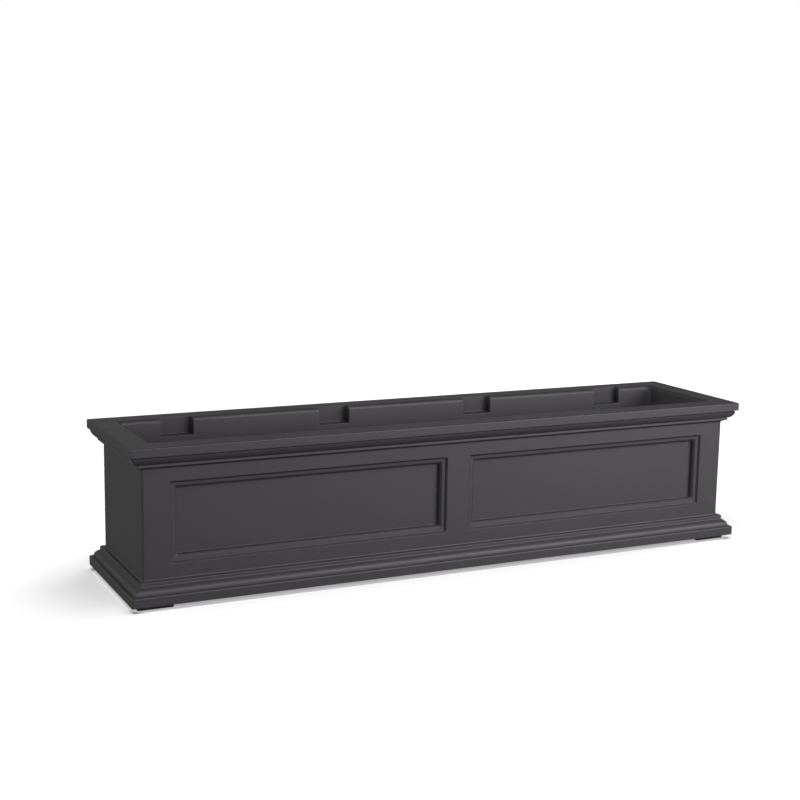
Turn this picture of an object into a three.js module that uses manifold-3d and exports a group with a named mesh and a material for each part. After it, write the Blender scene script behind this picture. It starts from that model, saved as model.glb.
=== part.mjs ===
// Window box planter: a moulded outer case with two front panels, a rimmed inner trough,
// four push-in foot pads and two drain plugs.
// Millimetres, +Z up. X runs along the length, the front faces -Y.
// Origin: centre of the footprint, at the surface that the feet stand on.
import * as THREE from 'three';
import { mergeVertices } from 'three/addons/utils/BufferGeometryUtils.js';
import Module from 'manifold-3d';

const wasm = await Module();
wasm.setup();

// ---------- driving dimensions ----------
const LENGTH = 1219.2;        // over the rim and over the base
const WIDTH = 282.6;          // front to back, over the rim and over the base
const HEIGHT = 274.5;         // floor to the top of the rim
const SKIN = 3.6;             // moulded wall thickness
const CLEAR = 0.3;            // gap between pieces that touch

const FOOT_HEIGHT = 8.8;      // the base hangs this far above the floor
const BODY_INSET = 23.2;      // plain wall of the body, in from the rim and base faces
const FASCIA_BOTTOM = 259.3;  // lower edge of the square fascia under the rim
const SKIRT = 4.3;            // thickness of the fascia
const RIM_UNDER = 270.6;      // underside of the rim

const CORNER_R = 3;           // outer vertical corners
const INNER_R = 10;           // inner vertical corners of the trough

const LIP_START = 39;         // flat of the rim, from its outer edge
const LIP_R = 7.5;            // rounding from the rim into the trough
const WALL_TOP = LIP_START + LIP_R;   // inner wall, in from the outer edge, at the top
const WALL_BOTTOM = WALL_TOP + 4.2;   // and at the floor: about one degree of draft
const FLOOR_Z = 45;           // trough floor
const FLOOR_R = 10;           // rounding between wall and floor

const PANEL_X = [22.5, 537.3];  // inner and outer edge of each front panel
const PANEL_Z = [71.9, 211.5];  // lower and upper edge
// stepped moulding round a panel: distance in from its edge, depth behind the wall
const PANEL_STEPS = [[0, 0], [3.2, 4.2], [8.7, 4.6], [12.2, 7.9], [13.3, 13.6]];
const PANEL_BACKING = [[-3.6, 1.6], [-0.8, 8.0], [5.4, 9.2], [8.0, 12.2], [9.6, 17.2]];

const POCKET_X = [-457.2, -152.4, 152.4, 457.2];  // screw pockets in the back wall, 304.8 apart
const POCKET_WIDTH = 59.5;
const POCKET_FLOOR_Z = 242.5;
const POCKET_BACK = 31;       // back of a pocket, in from the rim's outer face

const DRAIN_X = 300;          // drain tubes, each side of the middle
const DRAIN_BORE_R = 12;
const DRAIN_TUBE_R = 18;
const DRAIN_SEAT_R = 18.4;    // shallow seat for the plug's flange
const DRAIN_SEAT_DEPTH = 1.4;
const OUTLET_R = 13;

const FOOT_LENGTH = 63;
const FOOT_DEPTH = 63;
const FOOT_INSET_X = 12.6;    // in from the base's ends
const FOOT_INSET_Y = 13.8;    // in from the base's front and back
const STUD_R = 5.6;
const STUD_HOLE_R = 6;

// ---------- helpers ----------
// Points of a rounded rectangle, counter-clockwise, with the same count for any radius.
function roundedRect(hx, hy, r, segments) {
  const points = [];
  const centres = [[hx - r, hy - r], [-hx + r, hy - r], [-hx + r, -hy + r], [hx - r, -hy + r]];
  centres.forEach(([cx, cy], quarter) => {
    for (let i = 0; i <= segments; i += 1) {
      const a = (quarter + i / segments) * Math.PI / 2;
      points.push([cx + r * Math.cos(a), cy + r * Math.sin(a)]);
    }
  });
  return points;
}

// A closed body through a list of rings, with a flat cap on the first and the last.
function loft(rings, segments) {
  const count = 4 * (segments + 1);
  const positions = [];
  const index = [];
  rings.forEach(({ hx, hy, r, z }) => {
    roundedRect(hx, hy, r, segments).forEach(([x, y]) => positions.push(x, y, z));
  });
  for (let k = 0; k + 1 < rings.length; k += 1) {
    for (let i = 0; i < count; i += 1) {
      const a = k * count + i;
      const b = k * count + (i + 1) % count;
      index.push(a, b, b + count, a, b + count, a + count);
    }
  }
  const last = (rings.length - 1) * count;
  for (let i = 1; i + 1 < count; i += 1) {
    index.push(0, i + 1, i);
    index.push(last, last + i, last + i + 1);
  }
  const geometry = new THREE.BufferGeometry();
  geometry.setAttribute('position', new THREE.Float32BufferAttribute(positions, 3));
  geometry.setIndex(index);
  return geometry;
}

// Rings that follow a moulding's profile round the box: [inset, height, corner radius].
function profileRings(profile) {
  return profile.map(([inset, z, r = CORNER_R]) => (
    { hx: LENGTH / 2 - inset, hy: WIDTH / 2 - inset, r, z }));
}

function solid(geometry) {
  const bare = geometry.clone();
  bare.deleteAttribute('normal');
  bare.deleteAttribute('uv');
  const merged = mergeVertices(bare, 1e-4);
  return new wasm.Manifold(new wasm.Mesh({
    numProp: 3,
    vertProperties: new Float32Array(merged.attributes.position.array),
    triVerts: new Uint32Array(merged.index.array),
  }));
}

function geometryOf(body) {
  const mesh = body.getMesh();
  const geometry = new THREE.BufferGeometry();
  geometry.setAttribute('position', new THREE.BufferAttribute(new Float32Array(mesh.vertProperties), 3));
  geometry.setIndex(new THREE.BufferAttribute(new Uint32Array(mesh.triVerts), 1));
  geometry.computeVertexNormals();
  return geometry;
}

function box(x0, x1, y0, y1, z0, z1) {
  const geometry = new THREE.BoxGeometry(x1 - x0, y1 - y0, z1 - z0);
  geometry.translate((x0 + x1) / 2, (y0 + y1) / 2, (z0 + z1) / 2);
  return solid(geometry);
}

// A turned body standing on +Z: the profile is [radius, height] from bottom to top, ending on the axis.
function turned(profile, x, y, segments = 32) {
  const geometry = new THREE.LatheGeometry(profile.map(([r, z]) => new THREE.Vector2(r, z)), segments);
  geometry.rotateX(Math.PI / 2);
  geometry.translate(x, y, 0);
  return solid(geometry);
}

function rod(r, z0, z1, x, y, segments = 32) {
  return turned([[0, z0], [r, z0], [r, z1], [0, z1]], x, y, segments);
}

// A front panel's stepped shape, from a list of [inset from the panel's edge, depth].
function panelLoft(steps, side, frontFace) {
  const hx = (PANEL_X[1] - PANEL_X[0]) / 2;
  const hz = (PANEL_Z[1] - PANEL_Z[0]) / 2;
  const rings = steps.map(([inset, depth]) => ({ hx: hx - inset, hy: hz - inset, r: 1, z: -depth })).reverse();
  const geometry = loft(rings, 1);
  geometry.rotateX(Math.PI / 2);
  geometry.translate(side * (PANEL_X[0] + PANEL_X[1]) / 2, frontFace, (PANEL_Z[0] + PANEL_Z[1]) / 2);
  return solid(geometry);
}

// ---------- outer case ----------
// Outer skin from the bottom edge up: base fascia, ledge, rounded base moulding, fillet, step, wall,
// bead, rounded crown moulding, a shadow groove, and an upstand that the trough's fascia hangs over.
const caseOutside = [
  [1.0, FOOT_HEIGHT], [0, FOOT_HEIGHT + 1], [0, 23.2], [0.8, 25.0], [2.6, 25.8], [6.4, 25.9],
  [6.5, 28.7], [7.1, 31.1], [8.2, 33.2], [10.1, 35.1], [12.1, 36.5], [14.6, 38.1], [15.6, 40.0],
  [15.6, 44.1], [16.2, 45.4], [17.5, 46.0], [20.2, 46.1], [22.4, 46.9], [BODY_INSET, 48.4],
  [BODY_INSET, 234.4], [20.0, 236.9], [16.2, 239.1], [15.3, 239.3], [15.0, 240.1], [15.3, 243.7],
  [12.9, 244.2], [10.2, 245.6], [7.9, 247.7], [6.1, 250.4], [4.8, 253.6], [4.3, 256.8],
  [7.4, 257.0], [7.4, RIM_UNDER - CLEAR],
];
const caseInside = [
  [11.0, RIM_UNDER - CLEAR], [11.0, 256.0], [9.6, 253.6], [11.2, 250.8], [13.0, 248.2], [16.6, 247.1],
  [18.6, 245.4], [18.8, 242.7], [25.5, 242.5], [BODY_INSET + SKIN, 241.3], [BODY_INSET + SKIN, 41.8], [19.2, 41.6], [18.8, 36.9],
  [14.4, 33.8], [11.4, 30.2], [10.1, 26.4], [10.0, 22.6], [4.2, 22.6], [SKIN, 22.0],
  [SKIN, FOOT_HEIGHT + SKIN + 0.5], [4.1, FOOT_HEIGHT + SKIN],
];
let outerCase = solid(loft(profileRings([
  ...caseOutside,
  ...caseInside.map(([inset, z]) => [inset, z, 1.5]),
]), 2));

const frontFace = -(WIDTH / 2 - BODY_INSET);
[-1, 1].forEach((side) => {
  outerCase = outerCase.add(panelLoft(PANEL_BACKING, side, frontFace));
});
[-1, 1].forEach((side) => {
  outerCase = outerCase.subtract(panelLoft([[0, -2], ...PANEL_STEPS], side, frontFace));
});

const footX = LENGTH / 2 - FOOT_INSET_X - FOOT_LENGTH / 2;
const footY = WIDTH / 2 - FOOT_INSET_Y - FOOT_DEPTH / 2;
const feet = [
  ['foot_front_left', -footX, -footY], ['foot_front_right', footX, -footY],
  ['foot_back_left', -footX, footY], ['foot_back_right', footX, footY],
];
feet.forEach(([, x, y]) => {
  outerCase = outerCase.subtract(rod(STUD_HOLE_R, 6, 15, x, y, 24));
});
[-DRAIN_X, DRAIN_X].forEach((x) => {
  outerCase = outerCase.subtract(rod(OUTLET_R, 6, 15, x, 0, 32));
});

// ---------- inner trough ----------
const lip = [];
for (let i = 0; i <= 4; i += 1) {
  const a = (i / 4) * Math.PI / 2;
  lip.push([LIP_START + LIP_R * Math.sin(a), HEIGHT - LIP_R * (1 - Math.cos(a)), 5 + (INNER_R - 5) * (i / 4)]);
}
const floorFillet = [];
for (let i = 0; i <= 3; i += 1) {
  const a = (i / 3) * Math.PI / 2;
  floorFillet.push([WALL_BOTTOM + FLOOR_R * (1 - Math.cos(a)), FLOOR_Z + FLOOR_R * (1 - Math.sin(a)), INNER_R - 4 * (i / 3)]);
}
let trough = solid(loft(profileRings([
  // underside: floor, walls, underside of the rim, inside of the fascia
  [WALL_BOTTOM + FLOOR_R, FLOOR_Z - SKIN, 6], [WALL_BOTTOM + 0.4, FLOOR_Z, 10],
  [WALL_BOTTOM - SKIN, FLOOR_Z + 8, 13], [WALL_TOP - SKIN, HEIGHT - LIP_R - 1, 13],
  [WALL_TOP - 6.5, 269.4, 10], [LIP_START - 2, RIM_UNDER, 6],
  [SKIRT + 0.2, RIM_UNDER, 1.2], [SKIRT, RIM_UNDER - 0.2, 1.2], [SKIRT, FASCIA_BOTTOM, 1.2],
  // fascia and rim
  [0.6, FASCIA_BOTTOM, 3], [0, FASCIA_BOTTOM + 0.6, 3], [0, HEIGHT - 1.8, 3], [0.5, HEIGHT - 0.5, 3], [1.8, HEIGHT, 3],
  // lip, walls and floor
  ...lip,
  ...floorFillet,
]), 5));

// screw pockets: shallow recesses in the back wall, open at the top
const pocketY = WIDTH / 2 - POCKET_BACK;
POCKET_X.forEach((x) => {
  const half = POCKET_WIDTH / 2 + SKIN;
  trough = trough.add(box(x - half, x + half, WIDTH / 2 - WALL_TOP + 1, pocketY + SKIN, POCKET_FLOOR_Z - SKIN, RIM_UNDER + 1));
});
POCKET_X.forEach((x) => {
  const half = POCKET_WIDTH / 2;
  trough = trough.subtract(box(x - half, x + half, WIDTH / 2 - WALL_TOP - 12, pocketY, POCKET_FLOOR_Z, HEIGHT + 10));
});

// drain tubes, from the trough floor down to the bottom of the case
[-DRAIN_X, DRAIN_X].forEach((x) => {
  trough = trough.add(rod(DRAIN_TUBE_R, FOOT_HEIGHT + SKIN + CLEAR, FLOOR_Z - 1, x, 0, 32));
  trough = trough.subtract(rod(DRAIN_BORE_R, 6, FLOOR_Z + 5, x, 0, 32));
  trough = trough.subtract(rod(DRAIN_SEAT_R, FLOOR_Z - DRAIN_SEAT_DEPTH, FLOOR_Z + 5, x, 0, 32));
});

// ---------- drain plugs ----------
function drainPlug(x) {
  const seat = FLOOR_Z - DRAIN_SEAT_DEPTH + CLEAR;
  const body = turned([
    [0, seat - 13], [10.6, seat - 13], [11.6, seat - 11], [11.6, seat], [17.8, seat],
    [17.8, seat + 2.2], [16.8, seat + 3.2], [0, seat + 3.2],
  ], x, 0, 32);
  const outline = new THREE.Shape();
  outline.moveTo(-12, 0);
  outline.lineTo(12, 0);
  outline.lineTo(12, 7);
  outline.absarc(7, 7, 5, 0, Math.PI / 2, false);
  outline.lineTo(-7, 12);
  outline.absarc(-7, 7, 5, Math.PI / 2, Math.PI, false);
  const tab = new THREE.ExtrudeGeometry(outline, { depth: 4.6, bevelEnabled: false, curveSegments: 4 });
  tab.translate(0, 0, -2.3);
  tab.rotateX(Math.PI / 2);
  tab.translate(x, 0, seat + 2.6);
  return body.add(solid(tab));
}

// ---------- foot pads ----------
// A square pad with softened edges, and a stud with a barbed head that snaps through the case's bottom.
function foot(x, y) {
  const hx = FOOT_LENGTH / 2;
  const hy = FOOT_DEPTH / 2;
  const top = FOOT_HEIGHT - CLEAR;
  const pad = loft([
    { hx: hx - 1.2, hy: hy - 1.2, r: 2.8, z: 0 },
    { hx, hy, r: 4, z: 1.2 },
    { hx, hy, r: 4, z: top - 0.6 },
    { hx: hx - 0.6, hy: hy - 0.6, r: 3.4, z: top },
  ], 3);
  pad.translate(x, y, 0);
  const head = FOOT_HEIGHT + SKIN + CLEAR;
  return solid(pad).add(turned([
    [0, 3], [STUD_R, 3], [STUD_R, head], [7.8, head], [7.4, head + 1.2], [4.6, head + 4.2], [0, head + 4.2],
  ], x, y, 24));
}

// ---------- scene graph ----------
const graphite = () => new THREE.MeshStandardMaterial({ color: 0x4c4a4d, roughness: 0.62, metalness: 0 });
const darkRubber = () => new THREE.MeshStandardMaterial({ color: 0x1d1c1e, roughness: 0.85, metalness: 0 });
const darkPlug = () => new THREE.MeshStandardMaterial({ color: 0x29282a, roughness: 0.7, metalness: 0 });

function piece(name, body, material) {
  const mesh = new THREE.Mesh(geometryOf(body), material);
  mesh.name = name;
  return mesh;
}

const planter = new THREE.Group();
const shells = new THREE.Group();
shells.add(piece('outer_case', outerCase, graphite()));
shells.add(piece('inner_trough', trough, graphite()));
planter.add(shells);

const footGroup = new THREE.Group();
feet.forEach(([name, x, y]) => footGroup.add(piece(name, foot(x, y), darkRubber())));
planter.add(footGroup);

const drains = new THREE.Group();
drains.add(piece('drain_plug_left', drainPlug(-DRAIN_X), darkPlug()));
drains.add(piece('drain_plug_right', drainPlug(DRAIN_X), darkPlug()));
planter.add(drains);

export default planter;
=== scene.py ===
"""Window box planter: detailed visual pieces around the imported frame.

Pieces are written in millimetres, in the frame's own axes (+X along the length, the front faces -Y, +Z up, z = 0 is
the surface that the feet stand on), and scaled to metres when their meshes are made.
"""

import math

import bpy
from mathutils import Matrix, Vector
from mathutils.geometry import tessellate_polygon


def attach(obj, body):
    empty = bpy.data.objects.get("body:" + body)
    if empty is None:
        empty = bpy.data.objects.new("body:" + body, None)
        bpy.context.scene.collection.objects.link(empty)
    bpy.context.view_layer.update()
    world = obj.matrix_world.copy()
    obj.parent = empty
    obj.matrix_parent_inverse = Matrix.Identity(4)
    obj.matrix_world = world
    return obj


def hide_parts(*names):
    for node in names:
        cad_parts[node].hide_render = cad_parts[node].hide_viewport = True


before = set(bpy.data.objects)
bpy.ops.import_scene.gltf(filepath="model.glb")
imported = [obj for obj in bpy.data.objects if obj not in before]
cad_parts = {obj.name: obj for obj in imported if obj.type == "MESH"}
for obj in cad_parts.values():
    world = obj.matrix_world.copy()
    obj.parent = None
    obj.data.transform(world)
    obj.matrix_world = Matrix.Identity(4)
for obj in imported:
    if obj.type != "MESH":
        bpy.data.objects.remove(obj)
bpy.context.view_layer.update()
MM = 0.001

# ---------------------------------------------------------------- dimensions, as in the frame
HALF_LENGTH = 609.6
HALF_WIDTH = 141.3
HEIGHT = 274.5
CORNER_SEGMENTS = 8
FRONT_FACE = -118.1
PANEL_X = (22.5, 537.3)
PANEL_Z = (71.9, 211.5)
POCKET_X = (457.2, 152.4, -152.4, -457.2)
POCKET_HALF = 29.75
POCKET_BLOCK_HALF = 33.35
POCKET_BACK = 31.0
POCKET_FLOOR_Z = 242.5
DRAIN_X = 300.0
FOOT_X = 565.5
FOOT_Y = 96.0
FOOT_HALF = 31.5


# ---------------------------------------------------------------- geometry helpers
def rounded(points, step=14.0):
    """A polyline of (u, v, radius[, w]) with its corners turned into arcs. w is carried along linearly."""
    out = []
    last = len(points) - 1
    full = [tuple(p) + (0.0,) * (4 - len(p)) for p in points]
    for i, (u, v, radius, w) in enumerate(full):
        if radius <= 0 or i in (0, last):
            out.append((u, v, w))
            continue
        here = Vector((u, v))
        back = Vector(full[i - 1][:2]) - here
        ahead = Vector(full[i + 1][:2]) - here
        turn = math.pi - back.angle(ahead)
        if turn < 1e-4:
            out.append((u, v, w))
            continue
        reach = radius * math.tan(turn / 2)
        start = here + back.normalized() * reach
        end = here + ahead.normalized() * reach
        centre = here + (back.normalized() + ahead.normalized()).normalized() * (radius / math.cos(turn / 2))
        w_start = w + (full[i - 1][3] - w) * reach / back.length
        w_end = w + (full[i + 1][3] - w) * reach / ahead.length
        steps = max(2, math.ceil(math.degrees(turn) / step))
        for k in range(steps + 1):
            f = k / steps
            a = math.sin((1 - f) * turn) / math.sin(turn)
            b = math.sin(f * turn) / math.sin(turn)
            at = centre + (start - centre) * a + (end - centre) * b
            out.append((at.x, at.y, w_start + (w_end - w_start) * f))
    return out


def box_ring(hx, hy, r, z, back=(), cx=0.0, cy=0.0, segments=CORNER_SEGMENTS):
    """A rounded rectangle at height z, counter-clockwise from above, with extra points along its back edge."""
    ring = []
    centres = ((hx - r, hy - r), (r - hx, hy - r), (r - hx, r - hy), (hx - r, r - hy))
    for quarter, (x, y) in enumerate(centres):
        for i in range(segments + 1):
            a = (quarter + i / segments) * math.pi / 2
            ring.append((cx + x + r * math.cos(a), cy + y + r * math.sin(a), z))
        if quarter == 0:
            ring += [(cx + x_back, cy + hy, z) for x_back in back]
    return ring


def circle(r, z, cx, cy, count):
    return [(cx + r * math.cos(2 * math.pi * k / count), cy + r * math.sin(2 * math.pi * k / count), z) for k in range(count)]


class Build:
    """The vertices, faces and softened edges of one closed body."""

    def __init__(self):
        self.verts, self.faces, self.soft = [], [], {}

    def add(self, points):
        first = len(self.verts)
        self.verts += [tuple(p) for p in points]
        return list(range(first, len(self.verts)))

    def band(self, lower, upper, skip=()):
        count = len(lower)
        for i in range(count):
            if i not in skip:
                j = (i + 1) % count
                self.faces.append((lower[i], lower[j], upper[j], upper[i]))

    def bands(self, rings):
        for lower, upper in zip(rings, rings[1:]):
            self.band(lower, upper)

    def fill(self, loops, normal):
        """A flat face with holes: the first loop is its outline."""
        flat = [i for loop in loops for i in loop]
        for tri in tessellate_polygon([[Vector(self.verts[i]) for i in loop] for loop in loops]):
            a, b, c = (Vector(self.verts[flat[k]]) for k in tri)
            if (b - a).cross(c - a).dot(Vector(normal)) < 0:
                tri = tri[::-1]
            self.faces.append(tuple(flat[k] for k in tri))

    def polygon(self, loop, normal):
        points = [Vector(self.verts[i]) for i in loop]
        total = Vector((0, 0, 0))
        for a, b in zip(points, points[1:] + points[:1]):
            total += a.cross(b)
        self.faces.append(tuple(loop) if total.dot(Vector(normal)) > 0 else tuple(loop[::-1]))

    def soften(self, path, weight=1.0):
        for a, b in zip(path, path[1:]):
            self.soft[(min(a, b), max(a, b))] = weight

    def made(self, name, material, bevel=0.0, angle=40.0):
        mesh = bpy.data.meshes.new(name)
        mesh.from_pydata([tuple(c * MM for c in v) for v in self.verts], [], self.faces)
        mesh.validate()
        mesh.update()
        mesh.polygons.foreach_set("use_smooth", [True] * len(mesh.polygons))
        mesh.set_sharp_from_angle(angle=math.radians(angle))
        if self.soft:
            weights = mesh.attributes.new("bevel_weight_edge", "FLOAT", "EDGE")
            for edge in mesh.edges:
                key = (min(edge.vertices), max(edge.vertices))
                if key in self.soft:
                    weights.data[edge.index].value = self.soft[key]
                    edge.use_edge_sharp = False
        mesh.materials.append(material)
        piece = bpy.data.objects.new(name, mesh)
        bpy.context.scene.collection.objects.link(piece)
        if bevel:
            rounding = piece.modifiers.new("rounding", "BEVEL")
            rounding.limit_method = "WEIGHT"
            rounding.offset_type = "OFFSET"
            rounding.width = bevel * MM
            rounding.segments = 4
            rounding.use_clamp_overlap = False
        shading = piece.modifiers.new("even_shading", "WEIGHTED_NORMAL")
        shading.keep_sharp = True
        shading.weight = 50
        return piece


def shell_rings(build, profile, back=()):
    """Rings round the box for a profile of (inset, height, corner radius)."""
    return [build.add(box_ring(HALF_LENGTH - inset, HALF_WIDTH - inset, r, z, back)) for inset, z, r in profile]


def panel_ring(build, side, inset, depth, r, segments=5):
    """A loop round a front panel, counter-clockwise as seen from the front."""
    x0, x1 = PANEL_X[0] + inset, PANEL_X[1] - inset
    if side < 0:
        x0, x1 = -x1, -x0
    z0, z1 = PANEL_Z[0] + inset, PANEL_Z[1] - inset
    loop = []
    for quarter, (x, z) in enumerate(((x1 - r, z1 - r), (x0 + r, z1 - r), (x0 + r, z0 + r), (x1 - r, z0 + r))):
        for i in range(segments + 1):
            a = (quarter + i / segments) * math.pi / 2
            loop.append((x + r * math.cos(a), FRONT_FACE + depth, z + r * math.sin(a)))
    return build.add(loop)


# ---------------------------------------------------------------- materials
def node(tree, kind, at, **settings):
    made = tree.nodes.new(kind)
    made.location = at
    for key, value in settings.items():
        setattr(made, key, value)
    return made


def noise(tree, source, at, scale, detail=2.0, rough=0.5):
    made = node(tree, "ShaderNodeTexNoise", at)
    made.inputs["Scale"].default_value = scale
    made.inputs["Detail"].default_value = detail
    made.inputs["Roughness"].default_value = rough
    tree.links.new(source, made.inputs["Vector"])
    return made.outputs["Fac"]


def moulded(name, base, rough, spread=0.03, mottle=0.03, speck=0.05, stipple=0.00005, ripple=0.0001, specular=0.5, painted_inner_light=0.0):
    """Moulded plastic or rubber: cloudy colour, fine specks, a stippled skin and slow ripples in the surface.

    The last argument makes the colour that much lighter within the trough: painted light on the inner walls and floor,
    standing in for the light that the rim shades off them.
    """
    material = bpy.data.materials.new(name)
    material.use_nodes = True
    tree = material.node_tree
    tree.nodes.clear()
    out = node(tree, "ShaderNodeOutputMaterial", (900, 0))
    shader = node(tree, "ShaderNodeBsdfPrincipled", (600, 0))
    shader.inputs["Metallic"].default_value = 0.0
    shader.inputs["IOR"].default_value = 1.5
    shader.inputs["Specular IOR Level"].default_value = specular
    tree.links.new(shader.outputs["BSDF"], out.inputs["Surface"])
    place = node(tree, "ShaderNodeTexCoord", (-1200, 0)).outputs["Object"]

    clouds = noise(tree, place, (-900, 300), 7.0, 3.0, 0.55)
    specks = noise(tree, place, (-900, 100), 520.0, 2.0, 0.6)
    tint = node(tree, "ShaderNodeMapRange", (-600, 300))
    tint.inputs["To Min"].default_value = 1.0 - mottle
    tint.inputs["To Max"].default_value = 1.0 + mottle
    tint.inputs["From Min"].default_value = 0.3
    tint.inputs["From Max"].default_value = 0.7
    tree.links.new(clouds, tint.inputs["Value"])
    fleck = node(tree, "ShaderNodeMapRange", (-600, 50))
    fleck.inputs["To Min"].default_value = 1.0 - speck
    fleck.inputs["To Max"].default_value = 1.0 + speck
    fleck.inputs["From Min"].default_value = 0.25
    fleck.inputs["From Max"].default_value = 0.75
    tree.links.new(specks, fleck.inputs["Value"])
    both = node(tree, "ShaderNodeMath", (-400, 200), operation="MULTIPLY")
    tree.links.new(tint.outputs["Result"], both.inputs[0])
    tree.links.new(fleck.outputs["Result"], both.inputs[1])
    colour = node(tree, "ShaderNodeVectorMath", (-200, 200), operation="SCALE")
    colour.inputs[0].default_value = base
    strength = both.outputs[0]
    # painted light: the colour is lifted inside the trough, masked by position, in place of light the rim shades off
    # the inner walls
    if painted_inner_light:
        split = node(tree, "ShaderNodeSeparateXYZ", (-1100, 700))
        tree.links.new(place, split.inputs[0])
        for k, (axis, start, end) in enumerate((("X", 0.5700, 0.5660), ("Y", 0.1000, 0.0965), ("Z", 0.2700, 0.2640))):
            part = split.outputs[axis]
            if axis != "Z":
                size = node(tree, "ShaderNodeMath", (-900, 900 - 150 * k), operation="ABSOLUTE")
                tree.links.new(part, size.inputs[0])
                part = size.outputs[0]
            within = node(tree, "ShaderNodeMapRange", (-700, 900 - 150 * k))
            within.inputs["From Min"].default_value = start
            within.inputs["From Max"].default_value = end
            tree.links.new(part, within.inputs["Value"])
            if k == 0:
                mask = within.outputs["Result"]
            else:
                meet = node(tree, "ShaderNodeMath", (-500, 900 - 150 * k), operation="MULTIPLY")
                tree.links.new(mask, meet.inputs[0])
                tree.links.new(within.outputs["Result"], meet.inputs[1])
                mask = meet.outputs[0]
        lift = node(tree, "ShaderNodeMath", (-350, 600), operation="MULTIPLY_ADD")
        lift.inputs[1].default_value = painted_inner_light
        lift.inputs[2].default_value = 1.0
        tree.links.new(mask, lift.inputs[0])
        total = node(tree, "ShaderNodeMath", (-200, 450), operation="MULTIPLY")
        tree.links.new(strength, total.inputs[0])
        tree.links.new(lift.outputs[0], total.inputs[1])
        strength = total.outputs[0]
    tree.links.new(strength, colour.inputs["Scale"])
    tree.links.new(colour.outputs["Vector"], shader.inputs["Base Color"])

    worn = noise(tree, place, (-900, -150), 24.0, 4.0, 0.6)
    sheen = node(tree, "ShaderNodeMapRange", (-600, -150))
    sheen.inputs["From Min"].default_value = 0.3
    sheen.inputs["From Max"].default_value = 0.7
    sheen.inputs["To Min"].default_value = rough - spread
    sheen.inputs["To Max"].default_value = rough + spread
    tree.links.new(worn, sheen.inputs["Value"])
    tree.links.new(sheen.outputs["Result"], shader.inputs["Roughness"])

    slow = noise(tree, place, (-900, -400), 11.0, 1.0, 0.4)
    fine = noise(tree, place, (-900, -600), 950.0, 2.0, 0.55)
    waves = node(tree, "ShaderNodeBump", (-300, -350))
    waves.inputs["Strength"].default_value = 1.0
    waves.inputs["Distance"].default_value = ripple
    tree.links.new(slow, waves.inputs["Height"])
    grain = node(tree, "ShaderNodeBump", (0, -450))
    grain.inputs["Strength"].default_value = 1.0
    grain.inputs["Distance"].default_value = stipple
    tree.links.new(fine, grain.inputs["Height"])
    tree.links.new(waves.outputs["Normal"], grain.inputs["Normal"])
    tree.links.new(grain.outputs["Normal"], shader.inputs["Normal"])
    return material


GRAPHITE = (0.040, 0.040, 0.040)
case_plastic = moulded("graphite_case", GRAPHITE, 0.48)
# the trough's inner walls and floor get painted light: their colour is made 16 % lighter than the rim and the outside
trough_plastic = moulded("graphite_trough", GRAPHITE, 0.50, painted_inner_light=0.16)
foot_rubber = moulded("black_pad", (0.012, 0.012, 0.013), 0.72, mottle=0.12, speck=0.12, stipple=0.00012, specular=0.35)
plug_plastic = moulded("dark_plug", (0.022, 0.022, 0.023), 0.55, mottle=0.08)


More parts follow.
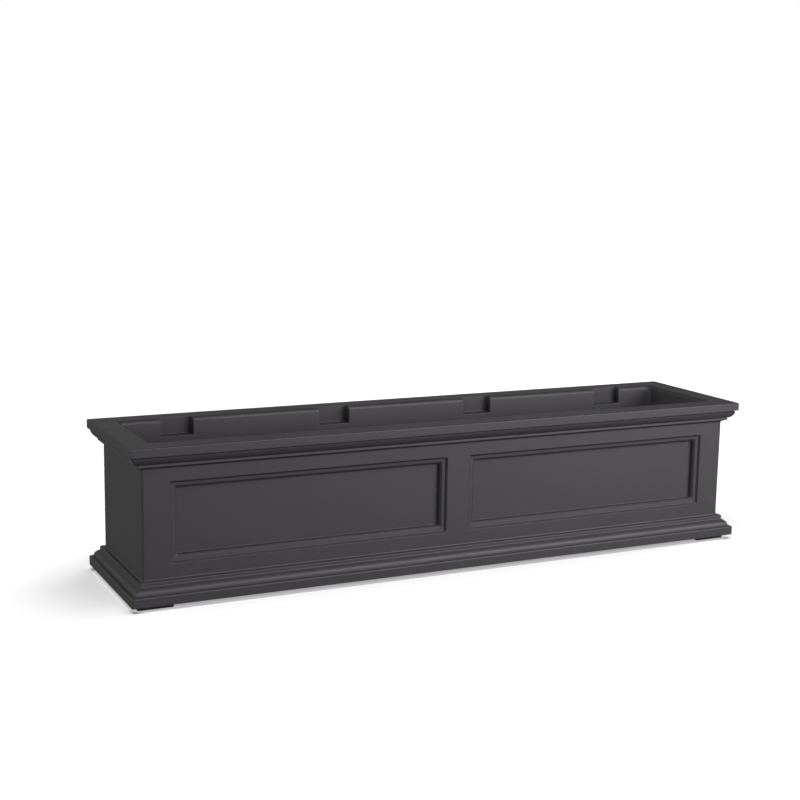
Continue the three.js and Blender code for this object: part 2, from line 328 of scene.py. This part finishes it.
# ---------------------------------------------------------------- outer case
def make_case():
    b = Build()
    # the crown's rounded slope, from its lower end up
    crown = [(15.3 - 11.0 * math.sin(math.radians(a)) ** 1.14, 243.7 + 13.1 * (1 - math.cos(math.radians(a)) ** 1.14), 0)
             for a in range(12, 85, 6)]
    outside = rounded([
        (14.0, 8.8, 0), (0, 8.8, 0.5), (0, 25.8, 2.6), (6.4, 25.8, 0.3), (6.4, 27.1, 0), (6.6, 29.2, 0), (7.12, 31.1, 0),
        (7.8, 32.5, 0), (8.9, 33.9, 0), (10.4, 35.3, 0), (12.1, 36.5, 0), (15.6, 38.8, 2.3), (15.6, 46.0, 1.9), (23.2, 46.0, 2.4),
        (23.2, 140.0, 0),
        (23.2, 234.6, 0.6), (20.0, 236.9, 0), (16.2, 238.8, 0.3), (15.0, 239.0, 0.7), (15.3, 243.7, 0.2),
        *crown, (4.3, 256.8, 0.3), (7.4, 257.0, 0.3), (7.4, 270.3, 0.6), (11.0, 270.3, 0.6),
        (11.0, 256.0, 0), (9.6, 253.6, 0), (11.2, 250.8, 0), (13.0, 248.2, 0), (16.6, 247.1, 0), (18.6, 245.4, 0),
        (18.8, 242.7, 0), (25.5, 242.5, 0), (26.8, 241.3, 0), (26.8, 41.8, 0), (19.2, 41.6, 0), (18.8, 36.9, 0), (14.4, 33.8, 0),
        (11.4, 30.2, 0), (10.1, 26.4, 0), (10.0, 22.6, 0), (4.2, 22.6, 0), (3.6, 22.0, 0), (3.6, 12.9, 0), (4.1, 12.4, 0),
        (14.0, 12.4, 0),
    ])
    # the plain wall is one span: its middle point only kept the fillets apart
    profile = [(inset, z, 2.8 + 2.4 * min(1.0, max(0.0, inset - 14.8) / 8.4)) for inset, z, _ in outside
               if not (inset == 23.2 and z == 140.0)]
    walls = [k for k, (inset, z, _) in enumerate(profile[:-1])
             if abs(inset - profile[k + 1][0]) < 1e-6 and abs(profile[k + 1][1] - z) > 100]
    rings = shell_rings(b, profile)
    front = 3 * (CORNER_SEGMENTS + 1) - 1
    for k, (lower, upper) in enumerate(zip(rings, rings[1:])):
        b.band(lower, upper, skip=(front,) if k in walls else ())

    # front wall, outside: two panels, each sunk behind a stepped moulding
    moulding = rounded([
        (-1.4, 0, 0), (0, 0, 0.9), (3.2, 4.2, 0.8), (8.7, 4.5, 0.9), (12.2, 7.8, 0.8), (13.4, 13.6, 0.9), (16.0, 13.6, 0),
    ])
    lower, upper = rings[walls[0]], rings[walls[0] + 1]
    outline = [lower[front], lower[front + 1], upper[front + 1], upper[front]]
    holes = []
    for side in (-1, 1):
        loops = [panel_ring(b, side, inset, depth, 2.6) for inset, depth, _ in moulding]
        holes.append(loops[0])
        b.bands(loops)
        b.polygon(loops[-1], (0, -1, 0))
    b.fill([outline] + holes, (0, -1, 0))

    # front wall, inside
    lower, upper = rings[walls[1] + 1], rings[walls[1]]
    outline = [lower[front], lower[front + 1], upper[front + 1], upper[front]]
    holes = []
    for side in (-1, 1):
        loops = [panel_ring(b, side, inset, depth, 2.0, 2)
                 for inset, depth in ((-3.0, 3.6), (-0.8, 8.0), (5.4, 9.2), (8.0, 12.2), (9.6, 17.2))]
        holes.append(loops[0])
        b.bands([loop[::-1] for loop in loops])
        b.polygon(loops[-1], (0, 1, 0))
    b.fill([outline] + holes, (0, 1, 0))

    # bottom: holes for the feet's studs and outlets under the drains
    below, above = [rings[0]], [rings[-1]]
    for x, y, r, count in [(sx * FOOT_X, sy * FOOT_Y, 6.0, 32) for sx in (-1, 1) for sy in (-1, 1)] + [
        (sx * DRAIN_X, 0.0, 13.0, 48) for sx in (-1, 1)
    ]:
        loops = [b.add(circle(radius, z, x, y, count)) for radius, z in ((r + 0.5, 8.8), (r, 9.3), (r, 12.0), (r + 0.4, 12.4))]
        b.bands([loop[::-1] for loop in loops])
        below.append(loops[0])
        above.append(loops[-1])
    b.fill(below, (0, 0, -1))
    b.fill(above, (0, 0, 1))
    return b.made("case_skin", case_plastic)


# ---------------------------------------------------------------- inner trough
def make_trough():
    b = Build()
    back = []
    for x in POCKET_X:
        back += [x + POCKET_BLOCK_HALF, x + POCKET_HALF, x - POCKET_HALF, x - POCKET_BLOCK_HALF]
    underside = [
        (60.7, 41.4, 6), (51.1, 45.0, 10), (47.1, 53.0, 13), (43.43, 238.9, 13), (42.9, 266.0, 13),
        (40.0, 269.4, 10), (37.0, 270.6, 6), (27.4, 270.6, 5), (4.5, 270.6, 1.2), (4.3, 270.4, 1.2),
    ]
    wall = lambda z: 46.5 + 4.2 * (HEIGHT - z) / (HEIGHT - 45.0)
    visible = rounded([
        (4.3, 270.3, 0, 1.2), (4.3, 259.3, 0.3, 1.2), (0, 259.3, 0.4, 3), (0, HEIGHT, 2.2, 3), (POCKET_BACK, HEIGHT, 0, 4),
        (wall(HEIGHT), HEIGHT, 7.5, 8), (wall(POCKET_FLOOR_Z), POCKET_FLOOR_Z, 0, 10), (wall(45.0), 45.0, 10, 10),
        (73.0, 45.0, 0, 5),
    ], step=9.0)
    profile = underside + visible[1:]
    rings = shell_rings(b, profile, back)
    columns = {x: CORNER_SEGMENTS + 1 + k for k, x in enumerate(back)}

    def row(inset, z):
        return min(range(len(profile)), key=lambda k: abs(profile[k][0] - inset) + abs(profile[k][1] - z))

    spans = [
        (row(43.43, 238.9), row(27.4, 270.6), POCKET_BLOCK_HALF, 27.4, 238.9, False),
        (row(POCKET_BACK, HEIGHT), row(wall(POCKET_FLOOR_Z), POCKET_FLOOR_Z), POCKET_HALF, POCKET_BACK, POCKET_FLOOR_Z, True),
    ]
    left_out = {}
    for first, last, half, _, _, _ in spans:
        for x in POCKET_X:
            for k in range(first, last):
                left_out.setdefault(k, set()).update(range(columns[x + half], columns[x - half]))
    for k, (lower, upper) in enumerate(zip(rings, rings[1:])):
        b.band(lower, upper, skip=left_out.get(k, ()))

    # screw pockets: sunk into the back wall on the visible side, standing out of it on the hidden side
    for first, last, half, deep, low, shown in spans:
        for x in POCKET_X:
            y = HALF_WIDTH - deep
            e_right, e_left = b.add([(x + half, y, low), (x - half, y, low)])
            paths = []
            for column, corner, into in ((columns[x + half], e_right, -1), (columns[x - half], e_left, 1)):
                path = [rings[k][column] for k in range(first, last + 1)]
                if not shown:
                    path = path[::-1]
                b.polygon(path + [corner], (into if shown else -into, 0, 0))
                paths.append(path)
                if shown:
                    b.soften(path + [corner, path[0]])
            right, left = paths
            facing = -1 if shown else 1
            b.polygon([right[0], left[0], e_left, e_right], (0, facing, 0))
            b.polygon([right[-1], left[-1], e_left, e_right], (0, 0, 1 if shown else -1))
            # the strip of the band between the two columns keeps its middle edges only where it isn't cut
            if shown:
                b.soften([right[0], left[0]])
                b.soften([right[-1], left[-1]])
                b.soften([e_right, e_left])

    # drains: a shallow seat in the floor and a tube down to the bottom of the case
    floor, under = [rings[-1]], [rings[0]]
    for x in (-DRAIN_X, DRAIN_X):
        loops = [b.add(circle(r, z, x, 0.0, 64)) for r, z, _ in rounded([
            (20.5, 45.0, 0), (18.4, 45.0, 0.6), (18.4, 43.6, 0.3), (12.0, 43.6, 0.6), (12.0, 12.7, 0.4), (18.0, 12.7, 0.8),
            (18.0, 39.0, 0), (18.0, 41.4, 0),
        ])]
        b.bands([loop[::-1] for loop in loops][::-1])
        floor.append(loops[0])
        under.append(loops[-1])
    b.fill(floor, (0, 0, 1))
    b.fill(under, (0, 0, -1))
    return b.made("trough_skin", trough_plastic, bevel=1.5)


# ---------------------------------------------------------------- foot pads
def make_foot(name, cx, cy):
    b = Build()
    pad = rounded([(8.0, 0.0, 0), (0.0, 0.0, 1.3), (0.0, 8.5, 0.9), (6.0, 8.5, 0)], step=15)
    rings = [b.add(box_ring(FOOT_HALF - inset, FOOT_HALF - inset, max(1.0, 4.2 - min(inset, 1.5)), z, cx=cx, cy=cy, segments=6))
             for inset, z, _ in pad]
    b.bands(rings)
    b.polygon(rings[0], (0, 0, -1))
    stud = rounded([
        (5.6 + 0.6, 8.5, 0), (5.6, 8.5, 0.4), (5.6, 12.7, 0.3), (7.8, 12.7, 0.3), (7.5, 13.8, 0.3), (4.6, 16.9, 0.8), (2.0, 16.9, 0),
    ], step=25)
    loops = [b.add(circle(r, z, cx, cy, 40)) for r, z, _ in stud]
    b.bands(loops)
    b.polygon(loops[-1], (0, 0, 1))
    b.fill([rings[-1], loops[0]], (0, 0, 1))
    return b.made(name, foot_rubber)


# ---------------------------------------------------------------- drain plugs
def make_plug(name, cx):
    b = Build()
    seat = 43.9
    turned = rounded([
        (8.2, seat - 13.0, 0), (10.6, seat - 13.0, 0.5), (11.5, seat - 10.8, 0.4), (11.5, seat - 9.4, 0.3), (10.9, seat - 8.9, 0.3),
        (10.9, seat - 6.2, 0.3), (11.5, seat - 5.7, 0.3), (11.5, seat - 4.3, 0.3), (10.9, seat - 3.8, 0.3), (10.9, seat, 0.5),
        (17.8, seat, 0.4), (17.8, seat + 3.2, 1.1), (15.0, seat + 3.2, 0),
    ], step=20)
    loops = [b.add(circle(r, z, cx, 0.0, 72)) for r, z, _ in turned]
    b.bands(loops)
    # the stem is a cup, open at the bottom
    cup = rounded([(8.2, seat - 13.0, 0), (8.0, seat - 12.6, 0), (7.6, seat - 1.0, 0.8), (4.0, seat - 1.0, 0)], step=20)
    inner = [loops[0]] + [b.add(circle(r, z, cx, 0.0, 72)) for r, z, _ in cup[1:]]
    b.bands([loop[::-1] for loop in inner])
    b.polygon(inner[-1], (0, 0, -1))
    # pull tab: a flat tongue with rounded shoulders
    base, top = seat + 3.2, seat + 14.6
    rings = []
    rows = [(0.0, 1.2), (0.35, 0.5), (0.9, 0.12), (1.6, 0.0)]
    for up, flare in rows:
        rings.append(b.add(box_ring(12 + flare, 2.3 + flare, 1.6, base + up, cx=cx, segments=5)))
    for k in range(0, 10):
        a = k / 9 * math.radians(78)
        hx = 7 + 5 * math.cos(a)
        z = top - 5 + 5 * math.sin(a)
        hy = 2.3 - max(0.0, (z - (top - 1.0))) * 0.9
        rings.append(b.add(box_ring(hx, hy, min(1.6, hy * 0.72), z, cx=cx, segments=5)))
    rings.append(b.add(box_ring(6.6, 0.7, 0.5, top, cx=cx, segments=5)))
    b.bands(rings)
    b.polygon(rings[-1], (0, 0, 1))
    b.fill([loops[-1], rings[0]], (0, 0, 1))
    return b.made(name, plug_plastic)


case = make_case()
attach(case, "planter")
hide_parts("outer_case")

trough = make_trough()
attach(trough, "planter")
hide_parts("inner_trough")

for tag, sx, sy in (("front_left", -1, -1), ("front_right", 1, -1), ("back_left", -1, 1), ("back_right", 1, 1)):
    pad = make_foot("pad_" + tag, sx * FOOT_X, sy * FOOT_Y)
    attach(pad, "planter")
    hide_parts("foot_" + tag)

for tag, x in (("left", -DRAIN_X), ("right", DRAIN_X)):
    plug = make_plug("stopper_" + tag, x)
    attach(plug, "plug_" + tag)
    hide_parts("drain_plug_" + tag)


# ---------------------------------------------------------------- floor, light, camera
# light that the floor gives off near the footprint's edge: mm outwards from 30 mm inside it, strength
UNDERGLOW = [(0, 0.30), (6, 0.345), (9, 0.39), (15, 0.44), (21, 0.485), (25, 0.44), (28, 0.31), (31, 0.16), (34, 0.07), (42, 0.03),
             (60, 0.0)]


def make_floor():
    """A pale floor that turns into a white backdrop away from the object."""
    mesh = bpy.data.meshes.new("floor")
    half = 14.0
    mesh.from_pydata([(-half, -half, 0), (half, -half, 0), (half, half, 0), (-half, half, 0)], [], [(0, 1, 2, 3)])
    material = bpy.data.materials.new("floor")
    material.use_nodes = True
    tree = material.node_tree
    shader = tree.nodes["Principled BSDF"]
    shader.inputs["Base Color"].default_value = (0.8, 0.8, 0.8, 1)
    shader.inputs["Roughness"].default_value = 0.9
    shader.inputs["Specular IOR Level"].default_value = 0.0
    shader.inputs["Emission Color"].default_value = (1, 1, 1, 1)
    place = node(tree, "ShaderNodeTexCoord", (-900, 0)).outputs["Object"]
    reach = node(tree, "ShaderNodeVectorMath", (-700, 0), operation="LENGTH")
    tree.links.new(place, reach.inputs[0])
    glow = node(tree, "ShaderNodeMapRange", (-500, 0), interpolation_type="SMOOTHSTEP")
    glow.inputs["From Min"].default_value = 1.1
    glow.inputs["From Max"].default_value = 3.2
    glow.inputs["To Max"].default_value = 1.0
    tree.links.new(reach.outputs["Value"], glow.inputs["Value"])
    # under the object the floor keeps a little light of its own, so that the low gap isn't black
    split = node(tree, "ShaderNodeSeparateXYZ", (-900, -300))
    tree.links.new(place, split.inputs[0])
    sides = []
    for k, (axis, half_size) in enumerate((("X", 0.6096), ("Y", 0.1413))):
        size = node(tree, "ShaderNodeMath", (-700, -250 - 200 * k), operation="ABSOLUTE")
        tree.links.new(split.outputs[axis], size.inputs[0])
        past = node(tree, "ShaderNodeMath", (-500, -250 - 200 * k), operation="SUBTRACT")
        past.inputs[1].default_value = half_size - 0.03
        tree.links.new(size.outputs[0], past.inputs[0])
        over = node(tree, "ShaderNodeMath", (-300, -250 - 200 * k), operation="MAXIMUM")
        over.inputs[1].default_value = 0.0
        tree.links.new(past.outputs[0], over.inputs[0])
        sides.append(over.outputs[0])
    gap = node(tree, "ShaderNodeCombineXYZ", (-100, -300))
    tree.links.new(sides[0], gap.inputs[0])
    tree.links.new(sides[1], gap.inputs[1])
    span = node(tree, "ShaderNodeVectorMath", (50, -300), operation="LENGTH")
    tree.links.new(gap.outputs[0], span.inputs[0])
    share = node(tree, "ShaderNodeMath", (200, -300), operation="DIVIDE")
    share.inputs[1].default_value = 0.06
    tree.links.new(span.outputs["Value"], share.inputs[0])
    fade = node(tree, "ShaderNodeValToRGB", (350, -300))
    stops = fade.color_ramp.elements
    while len(stops) > 1:
        stops.remove(stops[-1])
    for k, (millimetres, strength) in enumerate(UNDERGLOW):
        stop = stops[0] if k == 0 else stops.new(millimetres / 60)
        stop.position = millimetres / 60
        stop.color = (strength, strength, strength, 1)
    tree.links.new(share.outputs[0], fade.inputs["Fac"])
    add = node(tree, "ShaderNodeMath", (650, -300), operation="ADD")
    tree.links.new(glow.outputs["Result"], add.inputs[0])
    tree.links.new(fade.outputs["Color"], add.inputs[1])
    tree.links.new(add.outputs[0], shader.inputs["Emission Strength"])
    mesh.materials.append(material)
    floor = bpy.data.objects.new("floor", mesh)
    bpy.context.scene.collection.objects.link(floor)
    # the pale floor shows and takes shadows, and sends no light back into the dark plastic
    floor.visible_diffuse = False
    floor.visible_glossy = False
    floor.visible_shadow = False
    return floor


def lit_by(name, state):
    """Receivers for a light that leaves the floor out, or that has only the floor."""
    group = bpy.data.collections.new(name)
    group.objects.link(floor)
    group.collection_objects[0].light_linking.link_state = state
    return group


def area_light(name, azimuth, elevation, distance, size, power, colour=(1, 1, 1), receivers=None):
    """A square soft light. Azimuth 0 is straight in front of the object, 90 is at its right end."""
    a, e = math.radians(azimuth), math.radians(elevation)
    aim = Vector((0, 0, 0.12))
    at = aim + distance * Vector((math.sin(a) * math.cos(e), -math.cos(a) * math.cos(e), math.sin(e)))
    data = bpy.data.lights.new(name, "AREA")
    data.shape = "SQUARE"
    data.size = size
    data.energy = power
    data.color = colour
    light = bpy.data.objects.new(name, data)
    light.location = at
    light.rotation_euler = (aim - at).to_track_quat("-Z", "Y").to_euler()
    light.visible_camera = False
    light.light_linking.receiver_collection = receivers
    bpy.context.scene.collection.objects.link(light)


floor = make_floor()
all_but_floor = lit_by("all_but_floor", "EXCLUDE")
floor_only = lit_by("floor_only", "INCLUDE")
AMBIENT = 0.114
LIGHTS = [
    # name, azimuth, elevation, distance, size, watts, colour
    ("right_front", 30, 15, 3.5, 1.6, 50.0, (0.978, 0.930, 1.000)),
    ("left_low", -90, 15, 3.5, 1.6, 38.8, (0.965, 1.000, 0.946)),
    ("right_near", 45, 15, 2.0, 1.0, 9.5, (0.984, 0.959, 1.000)),
    ("front", 0, 15, 3.5, 1.6, 21.6, (0.955, 0.865, 1.000)),
    ("front_near_high", 20, 45, 2.0, 1.0, 7.7, (0.978, 0.933, 1.000)),
    ("left_back", -120, 15, 3.5, 1.6, 15.9, (0.953, 1.000, 0.947)),
    ("front_right_high", 15, 40, 3.5, 1.6, 6.7, (0.936, 0.828, 1.000)),
    ("right_near_high", 45, 35, 2.0, 1.0, 2.5, (0.987, 0.963, 1.000)),
    ("right_under", 90, -30, 3.5, 1.6, 5.8, (0.901, 0.682, 1.000)),
    ("back_under", 180, -30, 3.5, 1.6, 3.6, (1.000, 0.947, 0.812)),
    ("back", 180, 15, 3.5, 1.6, 2.4, (0.929, 1.000, 0.896)),
    ("right_back", 150, 15, 3.5, 1.6, 2.1, (0.976, 1.000, 0.972)),
    ("right_back_low", 120, 15, 3.5, 1.6, 1.6, (1.000, 0.988, 0.778)),
    ("left_high", -90, 40, 3.5, 1.6, 1.1, (1.000, 0.580, 0.741)),
    ("right_near_low", 70, 20, 2.0, 1.0, 0.4, (0.920, 0.570, 1.000)),
]
FLOOR_LIGHTS = [
    ("floor_left", -60, 65, 6.0, 4.0, 283.5),
    ("floor_front", 20, 65, 6.0, 4.0, 138.2),
    ("floor_right_high", 110, 65, 6.0, 4.0, 99.7),
    ("floor_right_low", 110, 45, 6.0, 4.0, 68.0),
    ("floor_end_low", 85, 45, 6.0, 4.0, 53.9),
    ("floor_end_high", 85, 65, 6.0, 4.0, 25.7),
    ("floor_corner", 60, 65, 6.0, 4.0, 15.3),
]
for light in LIGHTS:
    area_light(*light, receivers=all_but_floor)
for light in FLOOR_LIGHTS:
    area_light(*light, receivers=floor_only)

# white where the camera looks past the floor, dim everywhere else
world = bpy.data.worlds.new("studio")
bpy.context.scene.world = world
world.use_nodes = True
tree = world.node_tree
tree.nodes.clear()
seen = node(tree, "ShaderNodeBackground", (0, 100))
seen.inputs["Strength"].default_value = 1.0
seen.inputs["Color"].default_value = (1, 1, 1, 1)
dim = node(tree, "ShaderNodeBackground", (0, -100))
dim.inputs["Strength"].default_value = AMBIENT
dim.inputs["Color"].default_value = (1, 1, 1, 1)
which = node(tree, "ShaderNodeMixShader", (200, 0))
tree.links.new(node(tree, "ShaderNodeLightPath", (0, 400)).outputs["Is Camera Ray"], which.inputs[0])
tree.links.new(dim.outputs[0], which.inputs[1])
tree.links.new(seen.outputs[0], which.inputs[2])
tree.links.new(which.outputs[0], node(tree, "ShaderNodeOutputWorld", (400, 0)).inputs["Surface"])

yaw, pitch, roll = 0.455723, 0.174876, 0.017716
ahead = Vector((math.sin(yaw) * math.cos(pitch), math.cos(yaw) * math.cos(pitch), -math.sin(pitch)))
right = Vector((math.cos(yaw), -math.sin(yaw), 0))
up = right.cross(ahead)
x_axis = math.cos(roll) * right + math.sin(roll) * up
y_axis = -math.sin(roll) * right + math.cos(roll) * up
lens = bpy.data.cameras.new("camera")
lens.sensor_width = 36.0
lens.sensor_fit = "HORIZONTAL"
lens.lens = 1447.9143 / 800 * 36
lens.clip_end = 100
camera = bpy.data.objects.new("camera", lens)
camera.matrix_world = Matrix((
    (x_axis.x, y_axis.x, -ahead.x, -1.217629),
    (x_axis.y, y_axis.y, -ahead.y, -2.356949),
    (x_axis.z, y_axis.z, -ahead.z, 0.761869),
    (0, 0, 0, 1),
))
bpy.context.scene.collection.objects.link(camera)
bpy.context.scene.camera = camera

bpy.context.scene.view_settings.view_transform = "Standard"
bpy.context.scene.view_settings.look = "None"
bpy.context.scene.view_settings.exposure = 0.0
bpy.context.scene.view_settings.gamma = 1.0
